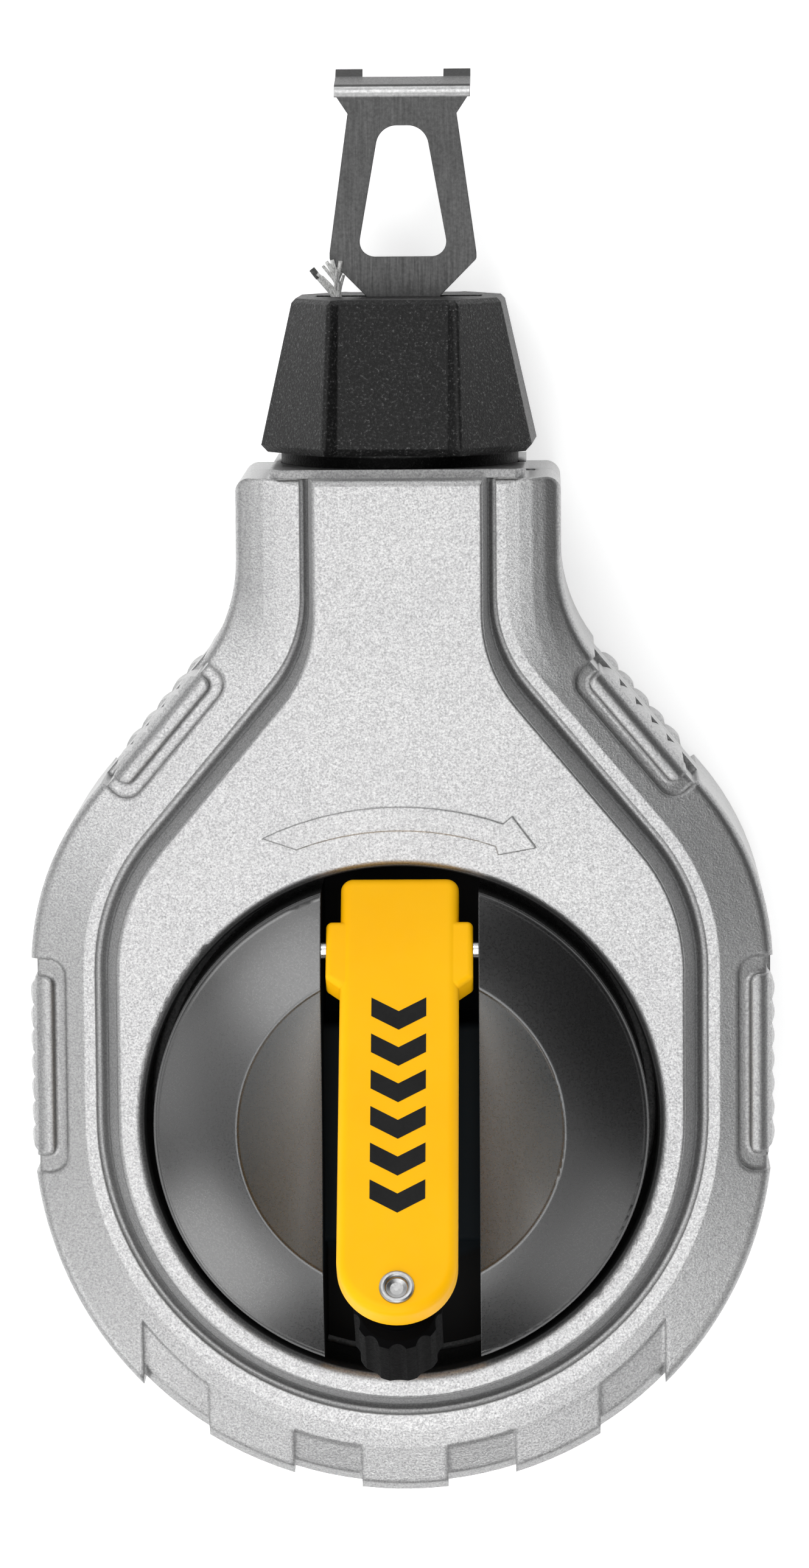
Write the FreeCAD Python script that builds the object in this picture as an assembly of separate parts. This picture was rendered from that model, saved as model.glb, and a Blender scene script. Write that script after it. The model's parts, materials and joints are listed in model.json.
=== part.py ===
import FreeCAD, Part
import math
import os

# Chalk line reel, in millimetres. The reel lies on its back: the rear face is the plane z = 0,
# the crank face looks along +Z, the nozzle and the hook point along +Y, and the crank turns
# about the Z axis. One STEP file is written for each piece.

V = FreeCAD.Vector

# ---- driving dimensions -------------------------------------------------------------------

# case
DEPTH = 44.0              # rear face to crank face
PARTING = DEPTH / 2       # plane where the two shells meet; also the height of the nozzle axis
HALF_WIDTH = 56.45        # parting-plane half width of the body
BODY_Y = -2.0             # centre of the round lower body
SHOULDER_X = 14.45        # centre of the shoulder arcs
SHOULDER_Y = 22.8
SLANT = math.radians(40)  # direction of the slanted sides' outward normal
NECK_HALF = 24.57
NECK_RADIUS = 25.0        # concave arc from the slanted side into the neck
NECK_TOP = 97.5
NECK_CORNER = 2.2
COLLAR_TOP = 98.8         # flat-topped collar round the nozzle bore, proud of the neck's end
COLLAR_HALF = 19.3
COLLAR_Z = 40.9
WALL = 2.6

# crank face
RIM_EDGE_Z = 38.8         # outer edge of the sloping rim
BAND_Z = 40.6             # narrow flat band beside the groove
BAND_HALF = 48.3
GROOVE_HALF = 46.5
GROOVE_NECK = 14.75
GROOVE_Z = 39.6
PANEL_HALF = 43.0
PANEL_NECK = 12.8
EDGE_ROUND = 1.6
OPENING_R = 38.9
LIP_ROUND = 1.6
WELL_OUTER_R = 40.9
WELL_FLOOR_Z = 28.6
WELL_UNDER_Z = 26.6

# grips and pads
GRIP_DEEP = 5.4           # recess inner edge, inward of the outline
BAR_DEEP = 3.6
TOOTH_PITCH = 3.7
PAD_INNER = 6.85          # inner arc of the bottom pads, inward of the outline
PAD_EDGES = (6.6, 17.0, 30.0, 40.0)
PAD_SIDE = 1.0            # how far the low pads stand back from the side wall

# gear train, module 1, ring fixed, sun on the spool, three planets on the dial's carrier
SUN_TEETH = 20
PLANET_TEETH = 10
RING_TEETH = SUN_TEETH + 2 * PLANET_TEETH
PLANET_ORBIT = (SUN_TEETH + PLANET_TEETH) / 2
PLANET_ANGLES = (90.0, 210.0, 330.0)
PRESSURE = math.radians(20)
GEAR_BACKLASH = 0.09      # taken off each flank
GEAR_LOW_Z = 20.6
GEAR_TOP_Z = 24.2
RING_TOP_Z = 26.6
PLATE_LOW_Z = 18.8
PLATE_TOP_Z = 20.2
KEY_ORBIT = 26.5          # screw bosses that also key the ring gear
KEY_ANGLES = (45.0, 135.0, 225.0, 315.0)

# spool
AXLE_R = 3.0
SPOOL_LOW_Z = 3.0
SPOOL_TOP_Z = 18.2
SPOOL_R = 34.0
FLANGE = 1.5
SPOOL_HUB_R = 10.0
WOUND_R = 30.5

# dial
DIAL_R = 37.5
DIAL_LOW_Z = 29.2
CHANNEL_HALF = 11.85
CHANNEL_FLOOR_Z = 30.8
BLOCK_TOP_Z = 43.0
BLOCK_Y = (-18.8, 15.0)
CREST_R = 24.7
CREST_Z = 52.3

# folding arm and knob
HINGE_Y = 27.0
HINGE_Z = 49.0
ARM_RAISED = 36.0         # degrees that the arm is stored raised
ARM_HALF = 8.9
ARM_THICK = 5.0
ARM_TAIL = 11.36
EAR_HALF = 11.05
RIVET_REACH = 56.6
ARM_END_CENTRE = 51.8
KNOB_R = 6.5
KNOB_LENGTH = 15.0
PIN_R = 1.25

# nozzle cap and hook
BORE_R = 18.3
BORE_FLOOR_Y = 82.0
CAP_LOW_Y = 100.8
CAP_TOP_Y = 124.0
SKIRT_R = 18.15
SKIRT_LOW_Y = 86.8
SLOT_FLOOR_Y = 111.0
CAP_PANEL_HALF = 8.3      # sunk panel between the cap's two raised wings
CAP_PANEL_DEEP = 1.4
CAP_TURNED = 2.3          # degrees that the round-skirted cap sits turned in its bore
HOOK_X = 0.7
HOOK_THICK = 1.2
LINE_R = 0.6

# case screws: x (both sides) and y
SCREW_SPOTS = ((44.4, -27.6), (48.6, 36.6), (21.3, 76.5))


# ---- helpers ------------------------------------------------------------------------------

def rod(radius, z0, z1, x=0.0, y=0.0):
    """Cylinder along Z."""
    return Part.makeCylinder(radius, z1 - z0, V(x, y, z0))


def tube(outer, inner, z0, z1, x=0.0, y=0.0):
    return rod(outer, z0, z1, x, y).cut(rod(inner, z0 - 1, z1 + 1, x, y))


def rod_y(radius, y0, y1, x=0.0, z=PARTING):
    """Cylinder along Y."""
    return Part.makeCylinder(radius, y1 - y0, V(x, y0, z), V(0, 1, 0))


def box(x0, x1, y0, y1, z0, z1):
    return Part.makeBox(x1 - x0, y1 - y0, z1 - z0, V(x0, y0, z0))


def polygon(points):
    return Part.Wire(Part.makePolygon(points + [points[0]]))


def prism(wire, z0, z1):
    """Upright prism on a closed wire that lies in a plane z = constant."""
    face = Part.Face(wire)
    face.translate(V(0, 0, z0 - wire.Vertexes[0].Z))
    return face.extrude(V(0, 0, z1 - z0))


def spin_z(profile, x=0.0, y=0.0):
    """Solid of revolution about Z; the profile's points are (radius, z)."""
    wire = polygon([V(x + r, y, z) for r, z in profile])
    return Part.Face(wire).revolve(V(x, y, 0), V(0, 0, 1), 360)


def spin_y(profile, x=0.0, z=PARTING):
    """Solid of revolution about the line along Y; the profile's points are (radius, y)."""
    wire = polygon([V(x + r, y, z) for r, y in profile])
    return Part.Face(wire).revolve(V(x, 0, z), V(0, 1, 0), 360)


def soften(shape, radius, wanted):
    """Rounds the edges that wanted(edge) picks."""
    edges = [edge for edge in shape.Edges if wanted(edge)]
    return shape.makeFillet(radius, edges)


def fuse_all(first, others):
    for other in others:
        first = first.fuse(other)
    return first


def cut_all(first, others):
    for other in others:
        first = first.cut(other)
    return first


def around(shape, angle, x=0.0, y=0.0):
    """Copy turned about a line along Z, by degrees."""
    copy = shape.copy()
    copy.rotate(V(x, y, 0), V(0, 0, 1), angle)
    return copy


def both_sides(shape):
    """The shape and its mirror image across the plane x = 0."""
    return [shape, shape.mirror(V(0, 0, 0), V(1, 0, 0))]


def to_rear(shape):
    """Mirror image across the parting plane."""
    return shape.mirror(V(0, 0, PARTING), V(0, 0, 1))


def save(name, shape):
    shape = shape.removeSplitter()
    solids = shape.Solids
    if not shape.isValid() or not solids:
        raise RuntimeError(name + " is not a valid solid")
    result = solids[0] if len(solids) == 1 else Part.makeCompound(solids)
    result.exportStep("parts/" + name + ".step")
    print(name, len(solids), round(sum(s.Volume for s in solids), 1))


# ---- pear outline of the case -------------------------------------------------------------

def pear(half, low_y, neck_half, neck_radius, top, z):
    """Closed pear wire: round body, straight sides, shoulders, slanted sides and a neck."""
    shoulder = half - SHOULDER_X
    c, s = math.cos(SLANT), math.sin(SLANT)
    ch, sh = math.cos(SLANT / 2), math.sin(SLANT / 2)
    reach = SHOULDER_X * c + SHOULDER_Y * s + shoulder
    neck_x = neck_half + neck_radius
    neck_y = (reach + neck_radius - neck_x * c) / s
    side_low = V(half, low_y, z)
    side_top = V(half, SHOULDER_Y, z)
    shoulder_mid = V(SHOULDER_X + shoulder * ch, SHOULDER_Y + shoulder * sh, z)
    slant_low = V(SHOULDER_X + shoulder * c, SHOULDER_Y + shoulder * s, z)
    slant_top = V(neck_x - neck_radius * c, neck_y - neck_radius * s, z)
    neck_mid = V(neck_x - neck_radius * ch, neck_y - neck_radius * sh, z)
    neck_low = V(neck_half, neck_y, z)
    neck_end = V(neck_half, top, z)

    def flip(p):
        return V(-p.x, p.y, p.z)

    def line(a, b):
        return Part.LineSegment(a, b).toShape()

    def arc(a, b, m):
        return Part.Arc(a, m, b).toShape()

    edges = [
        arc(flip(side_low), side_low, V(0, low_y - half, z)),
        line(side_low, side_top),
        arc(side_top, slant_low, shoulder_mid),
        line(slant_low, slant_top),
        arc(slant_top, neck_low, neck_mid),
        line(neck_low, neck_end),
        line(neck_end, flip(neck_end)),
        line(flip(neck_end), flip(neck_low)),
        arc(flip(neck_low), flip(slant_top), flip(neck_mid)),
        line(flip(slant_top), flip(slant_low)),
        arc(flip(slant_low), flip(side_top), flip(shoulder_mid)),
        line(flip(side_top), flip(side_low)),
    ]
    return Part.Wire(edges)


def outline(inward, z, top=NECK_TOP):
    """The case outline, moved inward by a distance."""
    return pear(HALF_WIDTH - inward, BODY_Y, NECK_HALF - inward, NECK_RADIUS + inward, top, z)


def band_outline(z, top):
    return pear(BAND_HALF, -0.2, GROOVE_NECK + 1.5, 21.0, top, z)


def groove_outline(z, top):
    return pear(GROOVE_HALF, 0.4, GROOVE_NECK, 20.0, top, z)


def panel_outline(grow, z, top):
    return pear(PANEL_HALF + grow, 0.2, PANEL_NECK + grow, 22.0 - grow, top, z)


def panel_foot(spread, z, top):
    """Foot of the panel's hollow-curved wall, which leaves a narrow floor in the groove."""
    return pear(44.6 + spread, 0.2, 13.5 + spread * 0.9, 22.0, top, z)


def rim_section(z, neck_half, neck_radius, top):
    """Section of the rim: on its plain slope round the body, nearer to flat beside the neck."""
    part = (z - RIM_EDGE_Z) / (BAND_Z - RIM_EDGE_Z)
    half = HALF_WIDTH + (BAND_HALF - HALF_WIDTH) * part
    return pear(half, BODY_Y * (1 - part) - 0.2 * part, neck_half, neck_radius, top, z)


def rim_height(inward):
    """Height of the sloping rim at a distance inward of the outline."""
    return RIM_EDGE_Z + (BAND_Z - RIM_EDGE_Z) * inward / (HALF_WIDTH - BAND_HALF)


# ---- case shells --------------------------------------------------------------------------

def case_block():
    """Front half of the case as one solid: sloping rim, groove and raised panel."""
    past = NECK_TOP + 12
    side = prism(outline(0, 0, past), PARTING, RIM_EDGE_Z)
    slope = Part.makeLoft([outline(0, RIM_EDGE_Z, past), rim_section(39.75, 22.2, 23.5, past),
                           rim_section(40.2, 20.3, 21.9, past), rim_section(40.45, 18.3, 20.6, past),
                           band_outline(BAND_Z, past)],
                          True, True)
    block = side.fuse(slope).removeSplitter()

    def outer_edge(edge):
        box_ = edge.BoundBox
        flat = abs(box_.ZMin - RIM_EDGE_Z) < 0.01 and abs(box_.ZMax - RIM_EDGE_Z) < 0.01
        return flat and box_.YMin < past - 0.1

    block = soften(block, EDGE_ROUND, outer_edge)
    groove = prism(groove_outline(0, past), GROOVE_Z, BAND_Z + 1)
    block = block.cut(groove)
    steps = [panel_outline(grow, DEPTH - drop, past)
             for grow, drop in ((0.16, 0.6), (0.0, 0.26), (-0.18, 0.08), (-0.42, 0.0))]
    feet = [panel_foot(1.3, GROOVE_Z - 1, past), panel_foot(1.15, GROOVE_Z, past),
            panel_foot(0.0, GROOVE_Z + 1.1, past)]
    panel = Part.makeLoft(feet + steps, True, True)
    block = block.fuse(panel)
    block = block.cut(box(-60, 60, NECK_TOP, past + 5, 0, DEPTH + 5))
    for corner in both_sides(neck_corner_cutter()):
        block = block.cut(corner)
    return round_neck_end(block).fuse(collar())


def collar():
    """Front half of the collar on the neck's end."""
    corner = 1.5
    points = [(-COLLAR_HALF, PARTING), (-COLLAR_HALF, COLLAR_Z - corner),
              (-COLLAR_HALF + corner, COLLAR_Z), (COLLAR_HALF - corner, COLLAR_Z),
              (COLLAR_HALF, COLLAR_Z - corner), (COLLAR_HALF, PARTING)]
    face = Part.Face(polygon([V(x, NECK_TOP, z) for x, z in points]))
    return face.extrude(V(0, COLLAR_TOP - NECK_TOP, 0))


def neck_corner_cutter():
    """Takes the square corner off the end of the neck, to a radius, in plan."""
    x = NECK_HALF - NECK_CORNER
    y = NECK_TOP - NECK_CORNER
    square = box(x, NECK_HALF + 1, y, NECK_TOP + 1, 0, DEPTH + 5)
    return square.cut(rod(NECK_CORNER, 0, DEPTH + 5, x, y))


def round_neck_end(block):
    """Rounds the front edge of the neck's end face with three small bevels."""
    for depth, back in ((0.3, 1.0), (0.6, 0.6), (1.0, 0.3)):
        for x0, x1, z in ((-60, -GROOVE_NECK, BAND_Z), (GROOVE_NECK, 60, BAND_Z),
                          (-PANEL_NECK, PANEL_NECK, DEPTH)):
            points = [V(x0, NECK_TOP + 0.001, z - back), V(x0, NECK_TOP + 1, z + 1),
                      V(x0, NECK_TOP - depth, z + 0.001)]
            wedge = Part.Face(polygon(points)).extrude(V(x1 - x0, 0, 0))
            block = block.cut(wedge)
    return block


def grip(middle, outward, half_recess, half_bar):
    """Cutter and bar of one ribbed grip; outward is the angle of the wall's outward normal."""
    low = PARTING + 4.0
    floor = 0.8
    side = 1.0

    def local(points, half):
        """Prism on points (inward, z), laid along the wall and centred on it."""
        wire = polygon([V(-inward, -half, z) for inward, z in points])
        return Part.Face(wire).extrude(V(0, 2 * half, 0))

    cutter = local([(GRIP_DEEP, DEPTH), (GRIP_DEEP, rim_height(GRIP_DEEP) - floor),
                    (side, rim_height(side) - floor), (side, low), (-4, low), (-4, DEPTH)],
                   half_recess)
    window = box(-GRIP_DEEP, 5, -half_recess, half_recess, 0, DEPTH + 1)
    window = soften(window, 2.8, lambda e: abs(e.BoundBox.XMax + GRIP_DEEP) < 0.01
                    and e.BoundBox.ZLength > 20)
    cutter = cutter.common(window)

    top = rim_height(BAR_DEEP) + 0.25
    teeth = int(2 * half_bar / TOOTH_PITCH)
    body = box(-BAR_DEEP, -0.7, -half_bar, half_bar, low, DEPTH)
    for n in range(teeth):
        y = (n - (teeth - 1) / 2) * TOOTH_PITCH
        body = body.fuse(rod(2.35, low, DEPTH, -2.0, y))
    body = body.removeSplitter()
    cap = local([(BAR_DEEP, low + 1.2), (BAR_DEEP, top - 0.5), (BAR_DEEP - 0.5, top),
                 (1.9, top - 0.1), (0.9, top - 0.7), (0.2, top - 1.8), (-0.1, top - 3.4),
                 (-0.6, top - 6), (-0.6, low + 4), (0.8, low + 1.2)], half_bar + 1.5)
    bar = body.common(cap)
    bar_window = box(-BAR_DEEP, 5, -half_bar, half_bar, 0, DEPTH + 1)
    bar_window = soften(bar_window, 1.6, lambda e: abs(e.BoundBox.XMax + BAR_DEEP) < 0.01
                        and e.BoundBox.ZLength > 20)
    bar = bar.common(bar_window)
    placed = []
    for shape in (cutter, bar):
        shape.rotate(V(0, 0, 0), V(0, 0, 1), math.degrees(outward))
        shape.translate(V(middle[0], middle[1], 0))
        placed.append(shape)
    return placed


def grips():
    """Cutters and bars of the two side grips and the two slanted ones."""
    side_cut, side_bar = grip((HALF_WIDTH, 8.0), 0.0, 16.5, 13.8)
    reach = SHOULDER_X * math.cos(SLANT) + SHOULDER_Y * math.sin(SLANT) + HALF_WIDTH - SHOULDER_X
    along = 22.5
    middle = (reach * math.cos(SLANT) - along * math.sin(SLANT),
              reach * math.sin(SLANT) + along * math.cos(SLANT))
    slant_cut, slant_bar = grip(middle, SLANT, 12.2, 10.2)
    cutters = both_sides(side_cut) + both_sides(slant_cut)
    bars = both_sides(side_bar) + both_sides(slant_bar)
    return cutters, bars


def pad_cutters():
    """Steps round the bottom: low pads are cut deep, raised pads only keep a fine line."""
    def ring(drop, side):
        inner = HALF_WIDTH - PAD_INNER
        outer = HALF_WIDTH - side
        profile = [(inner, DEPTH + 2), (inner, rim_height(PAD_INNER) - drop),
                   (outer - 1.3, rim_height(1.3) - drop), (outer + 0.02, RIM_EDGE_Z - 1.3 - drop)]
        low = RIM_EDGE_Z - 1.3 - drop
        if side > 0:
            low = PARTING - 1
            profile.append((outer + 0.02, low))
        profile += [(HALF_WIDTH + 4, low), (HALF_WIDTH + 4, DEPTH + 2)]
        return spin_z(profile, 0, BODY_Y)

    a, b, c, d = PAD_EDGES
    low = ring(0.9, PAD_SIDE)
    high = ring(0.3, 0.0)

    def slice_(x0, x1):
        return box(x0, x1, -70, -20, 0, DEPTH + 5)

    low_slices = both_sides(slice_(a, b)) + both_sides(slice_(c, d))
    high_slices = [slice_(-a, a)] + both_sides(slice_(b, c))
    return [low.common(s) for s in low_slices] + [high.common(s) for s in high_slices]


def arrow():
    """Raised arrow over the dial that shows the winding direction."""
    height = 0.3
    outer, inner, mid = 48.1, 44.5, 46.6

    def at(radius, degrees):
        t = math.radians(degrees)
        return V(radius * math.cos(t), radius * math.sin(t), DEPTH - 0.5)

    edges = [
        Part.Arc(at(outer, 115.5), at(outer, 92), at(outer, 71)).toShape(),
        Part.LineSegment(at(outer, 71), at(49.6, 70)).toShape(),
        Part.LineSegment(at(49.6, 70), at(mid, 63.8)).toShape(),
        Part.LineSegment(at(mid, 63.8), at(43.4, 70)).toShape(),
        Part.LineSegment(at(43.4, 70), at(inner, 71)).toShape(),
        Part.Arc(at(inner, 71), at(inner, 90), at(inner, 110.5)).toShape(),
        Part.LineSegment(at(inner, 110.5), at(outer, 115.5)).toShape(),
    ]
    return Part.Face(Part.Wire(edges)).extrude(V(0, 0, 0.5 + height))


def case_cavity():
    """Hollow of the front half: under the rim, and higher under the raised panel."""
    low = prism(outline(WALL, 0, BORE_FLOOR_Y), PARTING - 1, RIM_EDGE_Z - 2.4)
    high = prism(pear(PANEL_HALF - 2.4, 0.2, 10.6, 22.0, BORE_FLOOR_Y, 0),
                 RIM_EDGE_Z - 3, DEPTH - 2.4)
    return low.fuse(high)


def screw_centres():
    return [(sign * x, y) for x, y in SCREW_SPOTS for sign in (1, -1)]


def gasket_band(z0, z1):
    """Open band between the shells, broken where the nozzle bore crosses the parting plane."""
    band = prism(outline(1.35, 0, NECK_TOP - 1.35), z0, z1)
    band = band.cut(prism(outline(2.25, 0, NECK_TOP + 3), z0 - 1, z1 + 1))
    return band


def nozzle_bore():
    """Bore for the cap's skirt, with the little key notch."""
    bore = rod_y(BORE_R, BORE_FLOOR_Y - 1, COLLAR_TOP + 1)
    notch = box(BORE_R - 1, BORE_R + 2.4, NECK_TOP - 1.4, COLLAR_TOP + 1, PARTING + 1.0,
                PARTING + 4.0)
    return bore.fuse(notch)


def front_case():
    shell = case_block()
    cutters, bars = grips()
    shell = cut_all(shell, cutters + pad_cutters())
    shell = fuse_all(shell, bars + [arrow()])
    shell = shell.cut(rod(OPENING_R, WELL_FLOOR_Z, DEPTH + 5))
    shell = soften(shell, LIP_ROUND, lambda e: abs(e.BoundBox.ZMin - DEPTH) < 0.01
                   and abs(e.BoundBox.ZMax - DEPTH) < 0.01
                   and abs(e.BoundBox.XLength - 2 * OPENING_R) < 0.01)
    hollow = case_cavity()
    hollow = hollow.cut(rod(WELL_OUTER_R, WELL_UNDER_Z, DEPTH + 1))
    shell = shell.cut(hollow)
    bosses = [rod(3.8, PARTING, RIM_EDGE_Z - 1.5, x, y) for x, y in screw_centres()]
    keys = [around(rod(2.6, PLATE_TOP_Z, WELL_UNDER_Z + 0.5, KEY_ORBIT, 0), a)
            for a in KEY_ANGLES]
    shell = fuse_all(shell, bosses + keys)
    holes = [rod(1.5, PARTING - 1, RIM_EDGE_Z - 4, x, y) for x, y in screw_centres()]
    holes += [around(rod(0.9, PLATE_TOP_Z, WELL_FLOOR_Z - 0.8, KEY_ORBIT, 0), a)
              for a in KEY_ANGLES]
    holes.append(rod(9.0, WELL_UNDER_Z - 1, WELL_FLOOR_Z + 1))
    holes.append(nozzle_bore())
    holes.append(gasket_band(PARTING - 1, PARTING + 0.3))
    return cut_all(shell, holes)


def rear_case():
    shell = to_rear(case_block())
    cutters, bars = grips()
    shell = cut_all(shell, [to_rear(c) for c in cutters + pad_cutters()])
    shell = fuse_all(shell, [to_rear(b) for b in bars])
    shell = shell.cut(to_rear(case_cavity()))
    bosses = [rod(3.8, DEPTH - RIM_EDGE_Z + 1.5, PARTING, x, y) for x, y in screw_centres()]
    axle_boss = spin_z([(0, 1.5), (8, 1.5), (8, 2.4), (6, 2.9), (0, 2.9)])
    shell = fuse_all(shell, bosses + [axle_boss])
    holes = [rod(1.65, 0, PARTING + 1, x, y) for x, y in screw_centres()]
    holes += [rod(3.3, -1, 7.5, x, y) for x, y in screw_centres()]
    holes.append(rod(AXLE_R, 1.0, 4))
    holes.append(nozzle_bore())
    holes.append(gasket_band(PARTING - 0.3, PARTING + 1))
    return cut_all(shell, holes)


# ---- fasteners ----------------------------------------------------------------------------

def pan_screw(head_r, head_h, shank_r, length):
    """Screw with its head's seat at z = 0 and its head above; a cross recess in the head."""
    profile = [(0, -length), (shank_r * 0.5, -length), (shank_r, -length + shank_r), (shank_r, 0),
               (head_r, 0), (head_r, head_h * 0.45), (head_r * 0.82, head_h * 0.82),
               (head_r * 0.5, head_h), (0, head_h)]
    screw = spin_z(profile)
    arm = head_r * 0.55
    thin = head_r * 0.13
    deep = head_h * 0.35
    cross = box(-arm, arm, -thin, thin, deep, head_h + 1).fuse(
        box(-thin, thin, -arm, arm, deep, head_h + 1))
    return screw.cut(cross)


def placed_screw(screw, x, y, z, upside_down):
    copy = screw.copy()
    if upside_down:
        copy.rotate(V(0, 0, 0), V(1, 0, 0), 180)
    copy.translate(V(x, y, z))
    return copy


def case_screws():
    screw = pan_screw(3.0, 2.4, 1.5, 25.0)
    return Part.makeCompound([placed_screw(screw, x, y, 7.5, True) for x, y in screw_centres()])


def plate_screws():
    screw = pan_screw(1.9, 0.65, 0.9, 7.0)
    made = placed_screw(screw, KEY_ORBIT, 0, PLATE_LOW_Z + 0.7, True)
    return Part.makeCompound([around(made, a) for a in KEY_ANGLES])


# ---- gears --------------------------------------------------------------------------------

def gear_wire(teeth, tip, root, widen, phase, z):
    """Toothed outline of module 1 with a tooth centred on the phase angle, in degrees."""
    pitch = teeth / 2
    base = pitch * math.cos(PRESSURE)
    involute = math.tan(PRESSURE) - PRESSURE
    half_tooth = math.pi / (2 * teeth) + widen / pitch
    steps = 5
    start = max(root, base)
    flank = []
    for n in range(steps + 1):
        radius = start + (tip - start) * n / steps
        roll = math.acos(min(1.0, base / radius))
        angle = half_tooth + involute - (math.tan(roll) - roll)
        flank.append((radius, angle))
    if root < base:
        flank.insert(0, (root, flank[0][1]))
    points = []
    for tooth in range(teeth):
        centre = math.radians(phase) + 2 * math.pi * tooth / teeth
        rising = [(r, centre - a) for r, a in flank]
        falling = [(r, centre + a) for r, a in reversed(flank)]
        points += [V(r * math.cos(a), r * math.sin(a), z) for r, a in rising + falling]
    return polygon(points)


def ring_gear():
    body = rod(KEY_ORBIT - 1.3, GEAR_LOW_Z - 0.4, RING_TOP_Z)
    pitch = RING_TEETH / 2
    space = prism(gear_wire(RING_TEETH, pitch + 1.05, pitch - 0.5, GEAR_BACKLASH,
                            180 / RING_TEETH, 0), GEAR_LOW_Z - 1, RING_TOP_Z + 1)
    keys = [around(rod(2.65, GEAR_LOW_Z - 1, RING_TOP_Z + 1, KEY_ORBIT, 0), a)
            for a in KEY_ANGLES]
    return cut_all(body, [space] + keys)


def sun_gear():
    pitch = SUN_TEETH / 2
    gear = prism(gear_wire(SUN_TEETH, pitch + 0.68, pitch - 1.0, -GEAR_BACKLASH, 0, 0),
                 GEAR_LOW_Z, GEAR_TOP_Z)
    neck = rod(7.0, SPOOL_TOP_Z, GEAR_LOW_Z)
    key = hexagon(5.5, 14.2, SPOOL_TOP_Z)
    return fuse_all(gear, [neck, key]).cut(rod(AXLE_R + 0.05, 10, 30))


def hexagon(apothem, z0, z1):
    corner = apothem / math.cos(math.pi / 6)
    points = [V(corner * math.cos(math.pi * n / 3), corner * math.sin(math.pi * n / 3), z0)
              for n in range(6)]
    return prism(polygon(points), z0, z1)


def planet_centre(angle):
    t = math.radians(angle)
    return PLANET_ORBIT * math.cos(t), PLANET_ORBIT * math.sin(t)


def planet_gear(angle):
    pitch = PLANET_TEETH / 2
    sun_index = (SUN_TEETH * angle / 360) % 1
    phase = angle + 180 - (360 / PLANET_TEETH) * (0.5 - sun_index)
    gear = prism(gear_wire(PLANET_TEETH, pitch + 0.8, pitch - 0.9, -GEAR_BACKLASH, phase, 0),
                 GEAR_LOW_Z, GEAR_TOP_Z)
    gear = gear.cut(rod(PIN_R + 0.05, 0, 40))
    x, y = planet_centre(angle)
    gear.translate(V(x, y, 0))
    return gear


def planet_pins():
    pins = []
    for angle in PLANET_ANGLES:
        x, y = planet_centre(angle)
        pins.append(rod(PIN_R, GEAR_LOW_Z, 26.2, x, y))
    return Part.makeCompound(pins)


def planet_carrier():
    disc = rod(17.6, 24.6, 26.2)
    boss = rod(7.0, 26.2, DIAL_LOW_Z)
    key = hexagon(5.5, DIAL_LOW_Z, 35.0)
    holes = [rod(AXLE_R + 0.05, 20, 40)]
    for angle in PLANET_ANGLES:
        x, y = planet_centre(angle)
        holes.append(rod(PIN_R, 20, 30, x, y))
        tx, ty = planet_centre(angle + 60)
        holes.append(rod(3.0, 20, 30, tx * 0.8, ty * 0.8))
    return cut_all(fuse_all(disc, [boss, key]), holes)


def gear_plate():
    plate = rod(KEY_ORBIT - 1.3, PLATE_LOW_Z, PLATE_TOP_Z)
    ears = [around(rod(3.0, PLATE_LOW_Z, PLATE_TOP_Z, KEY_ORBIT, 0), a) for a in KEY_ANGLES]
    holes = [around(rod(1.0, PLATE_LOW_Z - 1, PLATE_TOP_Z + 1, KEY_ORBIT, 0), a)
             for a in KEY_ANGLES]
    holes += [around(rod(2.1, PLATE_LOW_Z - 1, PLATE_LOW_Z + 0.7, KEY_ORBIT, 0), a)
              for a in KEY_ANGLES]
    holes.append(rod(8.4, PLATE_LOW_Z - 1, PLATE_TOP_Z + 1))
    return cut_all(fuse_all(plate, ears), holes)


def shaft_seal():
    return tube(8.4, 7.05, PLATE_LOW_Z, PLATE_TOP_Z)


# ---- spool --------------------------------------------------------------------------------

def spool():
    low = rod(SPOOL_R, SPOOL_LOW_Z, SPOOL_LOW_Z + FLANGE)
    low = soften(low, 0.5, lambda e: e.BoundBox.XLength > 60)
    high = rod(SPOOL_R, SPOOL_TOP_Z - FLANGE, SPOOL_TOP_Z)
    high = soften(high, 0.5, lambda e: e.BoundBox.XLength > 60)
    hub = rod(SPOOL_HUB_R, SPOOL_LOW_Z, SPOOL_TOP_Z)
    holes = [rod(5.0, 0, 14.2), hexagon(5.5, 14.2, 30)]
    for n in range(6):
        vent = rod(4.0, 0, 30, 22.0, 0)
        holes.append(around(vent.common(box(0, 60, -20, 20, 0, SPOOL_LOW_Z + FLANGE)), 60 * n))
    return cut_all(fuse_all(low, [high, hub]), holes)


def spool_bushing():
    return tube(5.0, AXLE_R + 0.05, SPOOL_LOW_Z, 14.2)


def wound_line():
    return tube(WOUND_R, SPOOL_HUB_R, SPOOL_LOW_Z + FLANGE, SPOOL_TOP_Z - FLANGE)


def spool_axle():
    axle = rod(AXLE_R, 1.0, 39.15)
    return axle.cut(rod(1.6, 31.0, 40))


# ---- dial ---------------------------------------------------------------------------------

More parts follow.
